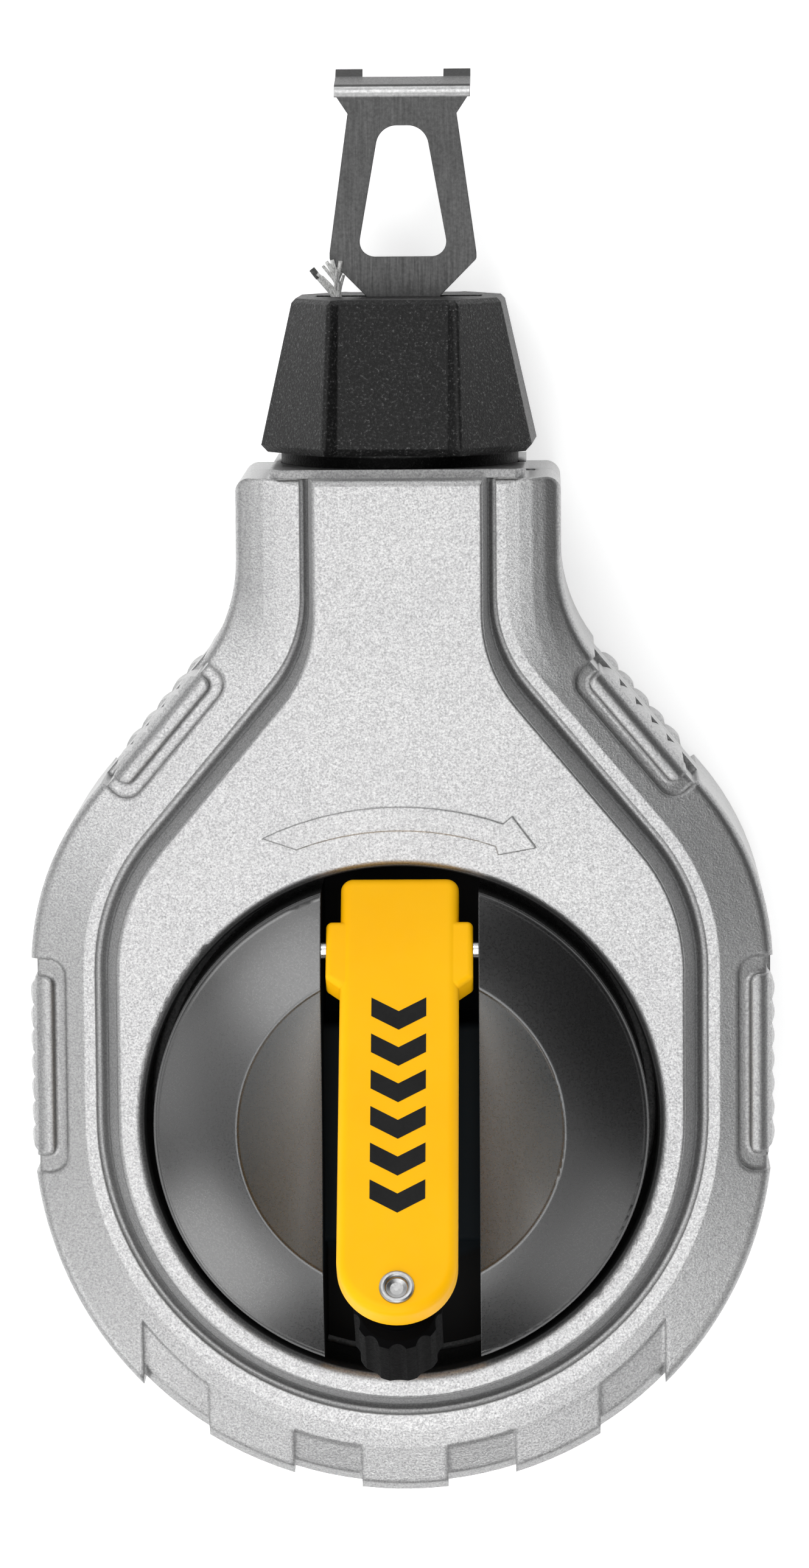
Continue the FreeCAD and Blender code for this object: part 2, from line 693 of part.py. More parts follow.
def dial_body():
    """Turned shape of the dial: rim, rounded cone up to the crest, shallow dish inside it."""
    def p(r, z):
        return V(r, 0, z)

    edges = [
        Part.LineSegment(p(0, DIAL_LOW_Z), p(DIAL_R - 0.8, DIAL_LOW_Z)).toShape(),
        Part.LineSegment(p(DIAL_R - 0.8, DIAL_LOW_Z), p(DIAL_R, DIAL_LOW_Z + 0.8)).toShape(),
        Part.LineSegment(p(DIAL_R, DIAL_LOW_Z + 0.8), p(DIAL_R, 47.2)).toShape(),
        Part.Arc(p(DIAL_R, 47.2), p(DIAL_R - 0.25, 47.85), p(DIAL_R - 0.9, 48.2)).toShape(),
        Part.Arc(p(DIAL_R - 0.9, 48.2), p(31.2, 50.4), p(CREST_R + 0.3, CREST_Z)).toShape(),
        Part.Arc(p(CREST_R + 0.3, CREST_Z), p(CREST_R, CREST_Z + 0.02),
                 p(CREST_R - 0.3, CREST_Z - 0.12)).toShape(),
        Part.Arc(p(CREST_R - 0.3, CREST_Z - 0.12), p(14, 49.9), p(0, 48.8)).toShape(),
        Part.LineSegment(p(0, 48.8), p(0, DIAL_LOW_Z)).toShape(),
    ]
    return Part.Face(Part.Wire(edges)).revolve(V(0, 0, 0), V(0, 0, 1), 360)


def crank_dial():
    dial = dial_body()
    dial = dial.cut(box(-CHANNEL_HALF, CHANNEL_HALF, -40, 40, CHANNEL_FLOOR_Z, 60))
    block = box(-CHANNEL_HALF - 0.5, CHANNEL_HALF + 0.5, BLOCK_Y[0], BLOCK_Y[1],
                CHANNEL_FLOOR_Z - 0.5, BLOCK_TOP_Z)
    block = soften(block, 1.2, lambda e: e.BoundBox.ZMin > BLOCK_TOP_Z - 0.01
                   and e.BoundBox.XLength > 10)
    dial = dial.fuse(block)
    holes = [
        hexagon(5.5, DIAL_LOW_Z - 1, 35.0),
        rod(AXLE_R + 0.1, 34, 50),
        rod(5.3, 39.0, 50),
        Part.makeCylinder(PIN_R, 28, V(-14, HINGE_Y, HINGE_Z), V(1, 0, 0)),
    ]
    return cut_all(dial, holes)


def dial_bushing():
    body = tube(9.0, 7.05, WELL_UNDER_Z - 0.1, WELL_FLOOR_Z)
    flange = tube(10.4, 7.05, WELL_FLOOR_Z, DIAL_LOW_Z - 0.15)
    return body.fuse(flange)


def dial_washer():
    return tube(4.9, 1.7, 39.15, 39.95)


def dial_screw():
    return placed_screw(pan_screw(3.5, 2.3, 1.6, 8.0), 0, 0, 39.95, False)


# ---- folding arm and knob -----------------------------------------------------------------

def raise_arm(shape):
    """Puts a piece that is drawn flat, with the hinge at the origin, where it is stored."""
    shape.rotate(V(0, 0, 0), V(1, 0, 0), -ARM_RAISED)
    shape.translate(V(0, HINGE_Y, HINGE_Z))
    return shape


def arm_plate(z0, z1):
    """Plan of the arm: tail with rounded corners, straight sides and a round end."""
    corner = 1.9
    a, tail, end = ARM_HALF, ARM_TAIL, -ARM_END_CENTRE
    bend = corner * (1 - math.sqrt(0.5))
    points = [V(a, end, z0), V(a, tail - corner, z0), V(a - corner, tail, z0),
              V(-a + corner, tail, z0), V(-a, tail - corner, z0), V(-a, end, z0)]
    edges = [
        Part.LineSegment(points[0], points[1]).toShape(),
        Part.Arc(points[1], V(a - bend, tail - bend, z0), points[2]).toShape(),
        Part.LineSegment(points[2], points[3]).toShape(),
        Part.Arc(points[3], V(-a + bend, tail - bend, z0), points[4]).toShape(),
        Part.LineSegment(points[4], points[5]).toShape(),
        Part.Arc(points[5], V(0, end - a, z0), points[0]).toShape(),
    ]
    return prism(Part.Wire(edges), z0, z1)


def crank_arm():
    half = ARM_THICK / 2
    plate = arm_plate(-half, half)
    plate = soften(plate, 1.5, lambda e: e.BoundBox.ZMin > half - 0.01)
    plate = soften(plate, 0.9, lambda e: e.BoundBox.ZMax < 0.01 - half)
    ear = [V(EAR_HALF, 3.9, -half), V(-EAR_HALF, 3.9, -half), V(-EAR_HALF, -5.6, -half),
           V(-ARM_HALF, -7.2, -half), V(ARM_HALF, -7.2, -half), V(EAR_HALF, -5.6, -half)]
    ears = prism(polygon(ear), -half, half - 0.15)
    ears = soften(ears, 0.9, lambda e: e.BoundBox.ZMin > half - 0.16
                  or (e.BoundBox.ZLength > 2 and abs(e.BoundBox.Center.x) > EAR_HALF - 0.1))
    arm = plate.fuse(ears)
    pocket = box(-ARM_HALF + 2, ARM_HALF - 2, -47, -8, -half - 1, 0.3)
    pocket = soften(pocket, 1.5, lambda e: e.BoundBox.ZLength > 2)
    ribs = [box(-10, 10, y - 0.7, y + 0.7, -2, 1) for y in (-21, -34)]
    arm = arm.cut(cut_all(pocket, ribs))
    pin_hole = Part.makeCylinder(PIN_R + 0.05, 30, V(-15, 0, 0), V(1, 0, 0))
    rivet_hole = rod(1.6, -5, 5, 0, -RIVET_REACH)
    return raise_arm(cut_all(arm, [pin_hole, rivet_hole]))


def knob_rivet():
    top = ARM_THICK / 2
    foot = -top - 0.2 - KNOB_LENGTH + 2.2
    profile = [(0, foot - 1.1), (2.9, foot - 1.1), (2.9, foot), (1.6, foot), (1.6, top),
               (2.6, top), (2.56, top + 0.32), (2.32, top + 0.5), (1.95, top + 0.5),
               (1.76, top + 0.36), (1.62, top - 0.15), (1.0, top - 0.4), (0, top - 0.5)]
    return raise_arm(spin_z(profile, 0, -RIVET_REACH))


def crank_knob():
    top = -ARM_THICK / 2 - 0.2
    foot = top - KNOB_LENGTH
    profile = [(1.65, top), (4.2, top), (4.2, top - 1.0), (5.7, top - 1.4), (KNOB_R, top - 2.4),
               (KNOB_R, foot + 1.0), (KNOB_R - 0.8, foot), (3.3, foot), (3.3, foot + 2.35),
               (1.65, foot + 2.35)]
    knob = spin_z(profile, 0, -RIVET_REACH)
    for n in range(10):
        t = math.radians(36 * n + 18)
        x = 7.9 * math.cos(t)
        y = -RIVET_REACH + 7.9 * math.sin(t)
        knob = knob.cut(rod(2.0, foot - 1, top - 1.6, x, y))
    return raise_arm(knob)


def hinge_pin():
    pin = Part.makeCylinder(PIN_R, 27.4, V(-13.7, HINGE_Y, HINGE_Z), V(1, 0, 0))
    return pin


# ---- nozzle cap ---------------------------------------------------------------------------

def cap_ring(half_x, half_z, wing, y):
    """Sixteen-sided ring of the tapered cap: an octagon whose front and back are sunk panels."""
    flat = half_x * 0.42
    quarter = [(CAP_PANEL_HALF, half_z - CAP_PANEL_DEEP), (wing, half_z), (half_x, flat)]
    right = quarter + [(x, -z) for x, z in reversed(quarter)]
    points = right + [(-x, z) for x, z in reversed(right)]
    return polygon([V(x, y, PARTING + z) for x, z in points])


def nozzle_cap():
    rings = [cap_ring(19.6, 19.6, 10.2, CAP_LOW_Y), cap_ring(20.6, 20.5, 10.2, CAP_LOW_Y + 1.1),
             cap_ring(15.95, 15.9, 9.5, CAP_TOP_Y - 0.7), cap_ring(15.3, 15.1, 9.3, CAP_TOP_Y)]
    cap = Part.makeLoft(rings, True, True)

    def lengthwise(edge):
        return edge.BoundBox.YLength > 15

    cap = soften(cap, 0.7, lambda e: lengthwise(e) and 8.9 < abs(e.CenterOfMass.x) < 10.8)
    cap = soften(cap, 0.45, lambda e: lengthwise(e) and abs(e.CenterOfMass.x) > 15)
    cap = cap.fuse(rod_y(SKIRT_R, SKIRT_LOW_Y, CAP_LOW_Y + 1))
    holes = [
        rod_y(14.5, SKIRT_LOW_Y - 1, 103.0),
        rod_y(9.0, 102.0, 109.0),
        rod_y(1.0, 108.0, SLOT_FLOOR_Y + 1),
        box(-12.7, 12.7, SLOT_FLOOR_Y, CAP_TOP_Y + 1, PARTING - 2.4, PARTING + 2.4),
        spin_y([(16.35, 91.05), (SKIRT_R + 1, 91.05), (SKIRT_R + 1, 92.95), (16.35, 92.95)]),
    ]
    cap = cut_all(cap, holes)
    cap.rotate(V(0, 0, PARTING), V(0, 1, 0), -CAP_TURNED)
    return cap


def cap_seal_ring():
    ring = Part.makeTorus(17.3, 0.9, V(0, 92.0, PARTING), V(0, 1, 0))
    return ring


def felt_wiper():
    return rod_y(9.0, 104.4, 109.0).cut(rod_y(LINE_R + 0.15, 100, 112))


def wiper_retainer():
    plate = rod_y(14.5, 101.2, 103.0)
    spigot = rod_y(9.0, 103.0, 104.4)
    slots = [rod_y(2.2, 100, 106, 11.4 * math.cos(t), PARTING + 11.4 * math.sin(t))
             for t in (math.pi * n / 3 for n in range(6))]
    return cut_all(plate.fuse(spigot), slots + [rod_y(2.0, 100, 106)])


# ---- hook and line ------------------------------------------------------------------------

def hook():
    """Flat stainless hook with a tapered window and a claw bent back at its end."""
    half = HOOK_THICK / 2
    z0, z1 = PARTING - half, PARTING + half
    side = [(4.4, 114.2), (5.65, 124.0), (11.2, 129.6), (11.2, 130.6), (8.3, 151.7),
            (10.35, 154.8), (10.35, 155.0)]
    points = [V(x, y, z0) for x, y in side] + [V(-x, y, z0) for x, y in reversed(side)]
    plate = prism(polygon(points), z0, z1)
    plate = soften(plate, 0.6, lambda e: e.BoundBox.ZLength > 1 and e.BoundBox.YMax < 131)
    plate = plate.cut(box(-12, 12, 154.2, 160, 0, 44))

    low, high = 130.0, 149.9
    low_half, high_half, r_low, r_high = 6.8, 3.5, 2.3, 3.4
    window = prism(polygon([V(low_half + 0.25, low, z0 - 1), V(high_half, high, z0 - 1),
                            V(-high_half, high, z0 - 1), V(-low_half - 0.25, low, z0 - 1)]),
                   z0 - 1, z1 + 1)
    window = soften(window, r_low, lambda e: e.BoundBox.ZLength > 1 and e.BoundBox.YMax < low + 1)
    window = soften(window, r_high - 0.2, lambda e: e.BoundBox.ZLength > 1
                    and e.BoundBox.YMin > high - 0.1)
    plate = plate.cut(window)
    plate = plate.cut(rod(1.7, z0 - 1, z1 + 1, 0, 117.9))

    start, outer, inner, length, curl = 154.2, 2.0, 0.8, 6.2, 2.4
    centre = z1 - outer

    def bend(radius, degrees):
        t = math.radians(degrees)
        return V(-10.35, start + radius * math.sin(t), centre + radius * math.cos(t))

    def onward(point, degrees, distance):
        t = math.radians(degrees)
        return V(point.x, point.y + distance * math.cos(t), point.z - distance * math.sin(t))

    outer_foot = onward(bend(outer, 80), 80, length)
    inner_foot = onward(bend(inner, 80), 80, length)
    outer_tip = onward(outer_foot, 62, curl)
    inner_tip = onward(inner_foot, 62, curl + 0.35)
    edges = [
        Part.Arc(bend(outer, 0), bend(outer, 40), bend(outer, 80)).toShape(),
        Part.LineSegment(bend(outer, 80), outer_foot).toShape(),
        Part.LineSegment(outer_foot, outer_tip).toShape(),
        Part.LineSegment(outer_tip, inner_tip).toShape(),
        Part.LineSegment(inner_tip, inner_foot).toShape(),
        Part.LineSegment(inner_foot, bend(inner, 80)).toShape(),
        Part.Arc(bend(inner, 80), bend(inner, 40), bend(inner, 0)).toShape(),
        Part.LineSegment(bend(inner, 0), bend(outer, 0)).toShape(),
    ]
    claw = Part.Face(Part.Wire(edges)).extrude(V(20.7, 0, 0))
    notch = prism(polygon([V(-6.2, 150, 0), V(6.2, 150, 0), V(6.2, 170, 0), V(-6.2, 170, 0)]),
                  0, outer_foot.z + 0.2)
    claw = claw.cut(notch)
    made = plate.fuse(claw)
    made.translate(V(HOOK_X, 0, 0))
    return made


def line_lead():
    return rod_y(LINE_R, 36.0, 111.4)


def line_knot():
    """Barrel knot under the hook and the loop that goes through the hook's hole."""
    knot = spin_y([(0, 111.4), (1.2, 111.4), (1.75, 112.0), (1.75, 113.2), (1.2, 114.0), (0, 114.0)])
    reach = 1.35
    thread = 0.5
    top = 116.75
    legs = [rod_y(thread, 113.4, top, 0.0, PARTING + s * reach) for s in (1, -1)]
    bow = Part.makeTorus(reach, thread, V(0, top, PARTING), V(1, 0, 0))
    bow = bow.cut(box(-3, 3, 100, top, 0, 44))
    made = fuse_all(knot, legs + [bow])
    made.translate(V(HOOK_X, 0, 0))
    return made


def line_tail():
    """The line's frayed end, which comes up out of the left end of the cap's slot."""
    route = [V(HOOK_X - 1.6, 112.6, PARTING), V(-5.0, 113.2, PARTING), V(-8.6, 116.6, PARTING),
             V(-9.9, 121.4, PARTING + 0.4), V(-9.6, 127.8, PARTING + 1.2)]
    return cord_tube(route, 0.5)


def cord_tube(route, radius):
    """Round cord along straight runs joined by tangent arcs, each as large as its runs allow."""
    edges = []
    start = route[0]
    for before, corner, after in zip(route, route[1:], route[2:]):
        into = (corner - before).normalize()
        out = (after - corner).normalize()
        reach = 0.45 * min((corner - before).Length, (after - corner).Length)
        turn = into.getAngle(out)
        enter = corner - into * reach
        leave = corner + out * reach
        bow = (out - into).normalize()
        depth = reach / math.tan(turn / 2) * (1 / math.cos(turn / 2) - 1)
        edges.append(Part.LineSegment(start, enter).toShape())
        edges.append(Part.Arc(enter, corner + bow * depth, leave).toShape())
        start = leave
    edges.append(Part.LineSegment(start, route[-1]).toShape())
    path = Part.Wire(edges)
    ring = Part.Wire(Part.makeCircle(radius, route[0], route[1] - route[0]))
    return path.makePipeShell([ring], True, False)


# ---- everything ---------------------------------------------------------------------------

def main():
    os.makedirs("parts", exist_ok=True)
    pieces = {
        "front_case": front_case, "rear_case": rear_case,
        "case_screws": case_screws, "ring_gear": ring_gear, "gear_plate": gear_plate,
        "gear_plate_screws": plate_screws, "shaft_seal": shaft_seal, "spool_axle": spool_axle,
        "dial_bushing": dial_bushing, "dial_washer": dial_washer, "dial_screw": dial_screw,
        "planet_carrier": planet_carrier, "planet_pins": planet_pins, "sun_gear": sun_gear,
        "spool": spool, "spool_bushing": spool_bushing, "wound_line": wound_line,
        "crank_dial": crank_dial, "hinge_pin": hinge_pin, "crank_arm": crank_arm,
        "knob_rivet": knob_rivet, "crank_knob": crank_knob, "nozzle_cap": nozzle_cap,
        "cap_seal_ring": cap_seal_ring, "felt_wiper": felt_wiper,
        "wiper_retainer": wiper_retainer, "hook": hook, "line_lead": line_lead,
        "line_knot": line_knot, "line_tail": line_tail,
    }
    save("case_gasket", gasket_band(PARTING - 0.3, PARTING + 0.3))
    for name, make in pieces.items():
        save(name, make())
    for number, angle in enumerate(PLANET_ANGLES, 1):
        save("planet_gear_" + str(number), planet_gear(angle))


main()
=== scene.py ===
import json
import math
import random

import bpy
from mathutils import Matrix, Vector


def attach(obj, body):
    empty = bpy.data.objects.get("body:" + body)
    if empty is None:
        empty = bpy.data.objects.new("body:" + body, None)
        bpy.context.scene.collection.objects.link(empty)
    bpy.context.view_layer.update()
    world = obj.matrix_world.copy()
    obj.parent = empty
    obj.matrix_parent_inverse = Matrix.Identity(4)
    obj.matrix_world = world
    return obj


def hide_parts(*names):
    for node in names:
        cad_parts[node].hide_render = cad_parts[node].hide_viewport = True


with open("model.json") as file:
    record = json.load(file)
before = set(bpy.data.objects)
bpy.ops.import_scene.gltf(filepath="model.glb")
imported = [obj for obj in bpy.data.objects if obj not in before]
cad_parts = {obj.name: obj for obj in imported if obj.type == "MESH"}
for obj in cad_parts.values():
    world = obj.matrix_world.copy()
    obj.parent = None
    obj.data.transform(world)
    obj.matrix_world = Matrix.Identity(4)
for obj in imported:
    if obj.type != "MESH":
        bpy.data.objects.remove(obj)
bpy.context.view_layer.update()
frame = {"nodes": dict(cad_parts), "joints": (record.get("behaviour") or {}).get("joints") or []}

MM = 0.001
CASE_DEPTH_MM = 44.0
CHANNEL_HALF = 11.85 * MM      # the dial's channel, from its middle to a side
WELL_R = 39.1 * MM             # the well in the case that the dial turns in
WELL_LOW_Z = 20.0 * MM         # the metal inside the well is all above this
DISH_R = 24.7 * MM             # the dished middle of the dial
CAP_FOOT_Y = 100.8 * MM        # below it the cap is a plain round skirt
ARM_STORED = 36.0              # degrees that the arm is stored raised
ARM_FACE = 2.5 * MM            # half the arm's thickness
PRINT_LIFT = 0.03 * MM         # the print's height off the arm
FIBRE_R = 0.24 * MM            # a loose fibre's radius


def even(value):
    """A grey with this value in each channel."""
    return (value, value, value)


def add(name, data):
    """A new object that holds this data, in the scene."""
    made = bpy.data.objects.new(name, data)
    bpy.context.collection.objects.link(made)
    return made


# ---- node helpers ---------------------------------------------------------------------------

class Shader:
    """A Principled material with short calls for the nodes that its detail needs."""

    def __init__(self, name, **values):
        self.material = bpy.data.materials.new(name)
        self.material.use_nodes = True
        self.tree = self.material.node_tree
        self.main = self.tree.nodes["Principled BSDF"]
        for key, value in values.items():
            socket = self.main.inputs[key.replace("_", " ").title()]
            socket.default_value = value
        self.where = self.node("ShaderNodeTexCoord").outputs["Object"]
        self.normal = None

    def node(self, kind, **settings):
        made = self.tree.nodes.new(kind)
        for key, value in settings.items():
            setattr(made, key, value)
        return made

    def link(self, source, target):
        self.tree.links.new(source, target)

    def noise(self, size_mm, detail=2.0, rough=0.5, stretch=None):
        """Noise whose features are about this many millimetres across."""
        made = self.node("ShaderNodeTexNoise")
        made.inputs["Scale"].default_value = 1000.0 / size_mm
        made.inputs["Detail"].default_value = detail
        made.inputs["Roughness"].default_value = rough
        source = self.where
        if stretch:
            mapping = self.node("ShaderNodeMapping")
            mapping.inputs["Scale"].default_value = stretch
            self.link(source, mapping.inputs["Vector"])
            source = mapping.outputs["Vector"]
        self.link(source, made.inputs["Vector"])
        return made.outputs["Fac"]

    def ramp(self, source, stops):
        """Colours at their places along the source."""
        made = self.node("ShaderNodeValToRGB")
        ramp = made.color_ramp
        while len(ramp.elements) < len(stops):
            ramp.elements.new(0.5)
        for element, (place, colour) in zip(ramp.elements, stops):
            element.position = place
            element.color = (*colour, 1.0)
        self.link(source, made.inputs["Fac"])
        return made.outputs["Color"]

    def grey(self, source, low, high, start=0.3, end=0.7):
        """The source spread between two values."""
        made = self.node("ShaderNodeMapRange")
        made.inputs["From Min"].default_value = start
        made.inputs["From Max"].default_value = end
        made.inputs["To Min"].default_value = low
        made.inputs["To Max"].default_value = high
        self.link(source, made.inputs["Value"])
        return made.outputs["Result"]

    def place(self, axis):
        """One coordinate of the point on the piece, in metres."""
        made = self.node("ShaderNodeSeparateXYZ")
        self.link(self.where, made.inputs["Vector"])
        return made.outputs[axis]

    def reach(self):
        """The point's distance from the dial's axis, in metres."""
        flat = self.node("ShaderNodeMapping")
        flat.inputs["Scale"].default_value = (1.0, 1.0, 0.0)
        self.link(self.where, flat.inputs["Vector"])
        made = self.node("ShaderNodeVectorMath", operation="LENGTH")
        self.link(flat.outputs["Vector"], made.inputs[0])
        return made.outputs["Value"]

    def size_of(self, source):
        """The source without its sign."""
        made = self.node("ShaderNodeMath", operation="ABSOLUTE")
        self.link(source, made.inputs[0])
        return made.outputs["Value"]

    def blend(self, mask, low, high):
        """From low where the mask is 0 to high where it is 1; each is a value or a socket."""
        made = self.node("ShaderNodeMapRange")
        self.link(mask, made.inputs["Value"])
        for key, value in (("To Min", low), ("To Max", high)):
            if isinstance(value, (int, float)):
                made.inputs[key].default_value = value
            else:
                self.link(value, made.inputs[key])
        return made.outputs["Result"]

    def multiply(self, a, b):
        made = self.node("ShaderNodeMix", data_type="RGBA", blend_type="MULTIPLY")
        made.inputs["Factor"].default_value = 1.0
        self.link(a, made.inputs["A"])
        self.link(b, made.inputs["B"])
        return made.outputs["Result"]

    def colour(self, source):
        self.link(source, self.main.inputs["Base Color"])

    def rough(self, source):
        self.link(source, self.main.inputs["Roughness"])

    def rounded(self, radius_mm, radius=None):
        """Rounds the look of sharp edges, by a radius in mm or by a socket's in metres."""
        made = self.node("ShaderNodeBevel", samples=6)
        made.inputs["Radius"].default_value = radius_mm * MM
        if radius:
            self.link(radius, made.inputs["Radius"])
        if self.normal:
            self.link(self.normal, made.inputs["Normal"])
        self.normal = made.outputs["Normal"]

    def bump(self, source, height_mm, strength):
        made = self.node("ShaderNodeBump")
        made.inputs["Distance"].default_value = height_mm * MM
        made.inputs["Strength"].default_value = strength
        self.link(source, made.inputs["Height"])
        if self.normal:
            self.link(self.normal, made.inputs["Normal"])
        self.normal = made.outputs["Normal"]

    def done(self):
        """The finished material."""
        if self.normal:
            self.link(self.normal, self.main.inputs["Normal"])
        return self.material


def paint(material, *nodes):
    """Gives the material to these CAD nodes."""
    for name in nodes:
        for slot in frame["nodes"][name].material_slots:
            slot.material = material


# ---- materials ------------------------------------------------------------------------------

def cast_metal():
    """Grained cast metal, darkened with painted shade in the dial's well and rougher on the
    panel's sides.
    """
    s = Shader("cast_aluminium", metallic=1.0)
    half = CASE_DEPTH_MM / 2
    # millimetres from the plane between the two shells, so that both are alike
    from_middle = s.size_of(s.grey(s.place("Z"), -half, half, 0.0, CASE_DEPTH_MM * MM))
    below_band = s.grey(from_middle, 1.0, 0.0, 17.9, 18.4)
    on_panel_side = s.multiply(s.grey(from_middle, 0.0, 1.0, 18.7, 19.0),
                               s.grey(from_middle, 1.0, 0.0, 21.2, 21.6))
    s.rounded(0.35, s.blend(below_band, 0.35 * MM, 1.1 * MM))
    grain = s.noise(0.30, 3.0, 0.7)
    coarse = s.noise(1.3, 2.0, 0.5)
    cloud = s.noise(28.0, 2.0, 0.5)
    base = s.ramp(grain, [(0.30, (0.257, 0.257, 0.259)), (0.50, even(0.380)),
                          (0.70, (0.503, 0.503, 0.501))])
    tint = s.ramp(cloud, [(0.3, (0.95, 0.95, 0.955)), (0.7, even(1.0))])
    # painted shade: the metal inside the dial's well is darkened to a tenth of its colour
    in_well = s.multiply(s.grey(s.reach(), 1.0, 0.0, WELL_R, WELL_R + 0.2 * MM),
                         s.grey(s.place("Z"), 0.0, 1.0, WELL_LOW_Z, WELL_LOW_Z + MM))
    painted_well_shade = s.ramp(in_well, [(0.0, even(1.0)), (1.0, even(0.10))])
    s.colour(s.multiply(s.multiply(base, tint), painted_well_shade))
    s.rough(s.blend(on_panel_side, s.grey(grain, 0.44, 0.32), 0.78))
    s.bump(coarse, 0.05, 0.5)
    s.bump(grain, 0.05, 0.8)
    return s.done()


def moulded(name, colour, grain_mm, height_mm, roughness, gloss=0.5):
    """Moulded plastic with a fine spark-eroded grain."""
    s = Shader(name, metallic=0.0)
    s.main.inputs["Specular IOR Level"].default_value = gloss
    s.rounded(0.25)
    grain = s.noise(grain_mm, 3.0, 0.6)
    cloud = s.noise(22.0, 2.0, 0.5)
    dark = tuple(c * 0.80 for c in colour)
    light = tuple(min(1.0, c * 1.22) for c in colour)
    s.colour(s.ramp(cloud, [(0.3, dark), (0.7, light)]))
    s.rough(s.grey(grain, roughness + 0.10, roughness - 0.10))
    s.bump(grain, height_mm, 0.9)
    return s.done()


def dial_plastic():
    """Satin black plastic, matt and darker in the arm's channel and bluer in its dish."""
    s = Shader("dial_plastic", metallic=0.0)
    s.main.inputs["IOR"].default_value = 1.6
    s.rounded(0.25)
    grain = s.noise(0.30, 3.0, 0.6)
    in_channel = s.grey(s.size_of(s.place("X")), 1.0, 0.0, CHANNEL_HALF + 0.02 * MM,
                        CHANNEL_HALF + 0.05 * MM)
    lobes = s.ramp(s.noise(22.0), [(0.3, (0.0192, 0.0192, 0.0198)),
                                   (0.7, (0.0276, 0.0276, 0.0284))])
    dished = s.grey(s.reach(), 0.0, 1.0, DISH_R - 0.5 * MM, DISH_R + 0.5 * MM)
    tint = s.ramp(dished, [(0.0, (0.42, 0.76, 1.0)), (1.0, even(0.36))])
    shade = s.ramp(in_channel, [(0.0, even(1.0)), (1.0, even(0.35))])
    s.colour(s.multiply(s.multiply(lobes, tint), shade))
    s.link(s.blend(in_channel, 1.0, 0.08), s.main.inputs["Specular IOR Level"])
    s.rough(s.blend(in_channel, s.grey(grain, 0.33, 0.25), 0.7))
    s.bump(grain, 0.004, 0.9)
    return s.done()


def cap_plastic():
    """Black plastic with a coarse grain whose light specks are partly painted glints, darker and
    matt on its round skirt.
    """
    s = Shader("cap_plastic", metallic=0.0)
    s.rounded(0.35)
    grain = s.noise(0.38, 3.0, 0.7)
    # the grain's light specks are partly the grain's own tone and partly painted glints
    grain_and_painted_glints = s.ramp(grain, [(0.38, even(0.0005)), (0.51, (0.002, 0.002, 0.0021)),
                             (0.62, even(0.019)), (0.72, even(0.12))])
    on_skirt = s.grey(s.place("Y"), 1.0, 0.0, CAP_FOOT_Y - 0.4 * MM, CAP_FOOT_Y - 0.1 * MM)
    s.colour(s.multiply(grain_and_painted_glints, s.ramp(on_skirt, [(0.0, even(1.0)), (1.0, even(0.1))])))
    s.link(s.blend(on_skirt, 0.27, 0.04), s.main.inputs["Specular IOR Level"])
    s.rough(s.grey(grain, 0.54, 0.35))
    s.bump(grain, 0.13, 0.9)
    return s.done()


def hook_steel():
    """Dark rolled steel, with a painted highlight over the outside of its curl and a painted
    shadow line past it.
    """
    s = Shader("hook_steel", metallic=1.0)
    s.rounded(0.15)
    lines = s.noise(0.25, 3.0, 0.6, (1.0, 0.05, 1.0))
    cloud = s.noise(9.0, 3.0, 0.6)
    cloudy = s.ramp(cloud, [(0.30, even(0.82)), (0.70, even(1.0))])
    # painted light by facing: a painted highlight strip over the outside of the curl and a
    # painted shadow line past it
    facing = s.node("ShaderNodeSeparateXYZ")
    s.link(s.node("ShaderNodeTexCoord").outputs["Normal"], facing.inputs["Vector"])
    painted_bend_highlight_and_shade = s.ramp(facing.outputs["Y"], [(0.06, even(0.082)), (0.16, even(0.55)),
                                        (0.74, even(0.75)), (0.84, even(0.04))])
    rubbed = s.ramp(s.noise(0.5, 3.0, 0.7), [(0.35, even(0.72)), (0.65, even(1.0))])
    s.colour(s.multiply(s.multiply(painted_bend_highlight_and_shade, cloudy), rubbed))
    s.rough(s.grey(lines, 0.46, 0.30))
    s.bump(lines, 0.006, 0.6)
    return s.done()


def coated_arm():
    """Yellow powder coating with a faint orange peel."""
    s = Shader("yellow_coating", metallic=0.0)
    s.main.inputs["Specular IOR Level"].default_value = 0.12
    s.rounded(0.3)
    peel = s.noise(1.6, 2.0, 0.5)
    cloud = s.noise(14.0, 2.0, 0.5)
    s.colour(s.ramp(cloud, [(0.3, (0.99, 0.485, 0.001)), (0.7, (1.0, 0.520, 0.002))]))
    s.rough(s.grey(peel, 0.52, 0.42))
    s.bump(peel, 0.02, 0.5)
    return s.done()


def steel(name, value, roughness):
    """Turned or pressed steel with a fine grain."""
    s = Shader(name, metallic=1.0)
    s.rounded(0.15)
    grain = s.noise(0.25, 3.0, 0.6, (1.0, 1.0, 1.0))
    cloud = s.noise(9.0, 3.0, 0.6)
    s.colour(s.ramp(cloud, [(0.30, even(value * 0.86)), (0.70, even(value * 1.08))]))
    s.rough(s.grey(grain, roughness + 0.10, roughness - 0.06))
    s.bump(grain, 0.006, 0.6)
    return s.done()


def brass():
    """Turned brass."""
    s = Shader("brass", metallic=1.0)
    s.rounded(0.15)
    lines = s.noise(0.3, 2.0, 0.5, (1.0, 1.0, 0.1))
    s.colour(s.ramp(s.noise(7.0), [(0.3, (0.62, 0.45, 0.18)), (0.7, (0.76, 0.58, 0.26))]))
    s.rough(s.grey(lines, 0.40, 0.25))
    return s.done()


def rubber():
    """Dull black rubber."""
    s = Shader("seal_rubber", metallic=0.0)
    grain = s.noise(0.3, 2.0, 0.5)
    s.colour(s.ramp(s.noise(8.0), [(0.3, even(0.012)), (0.7, even(0.022))]))
    s.rough(s.grey(grain, 0.75, 0.60))
    s.bump(grain, 0.01, 0.5)
    return s.done()


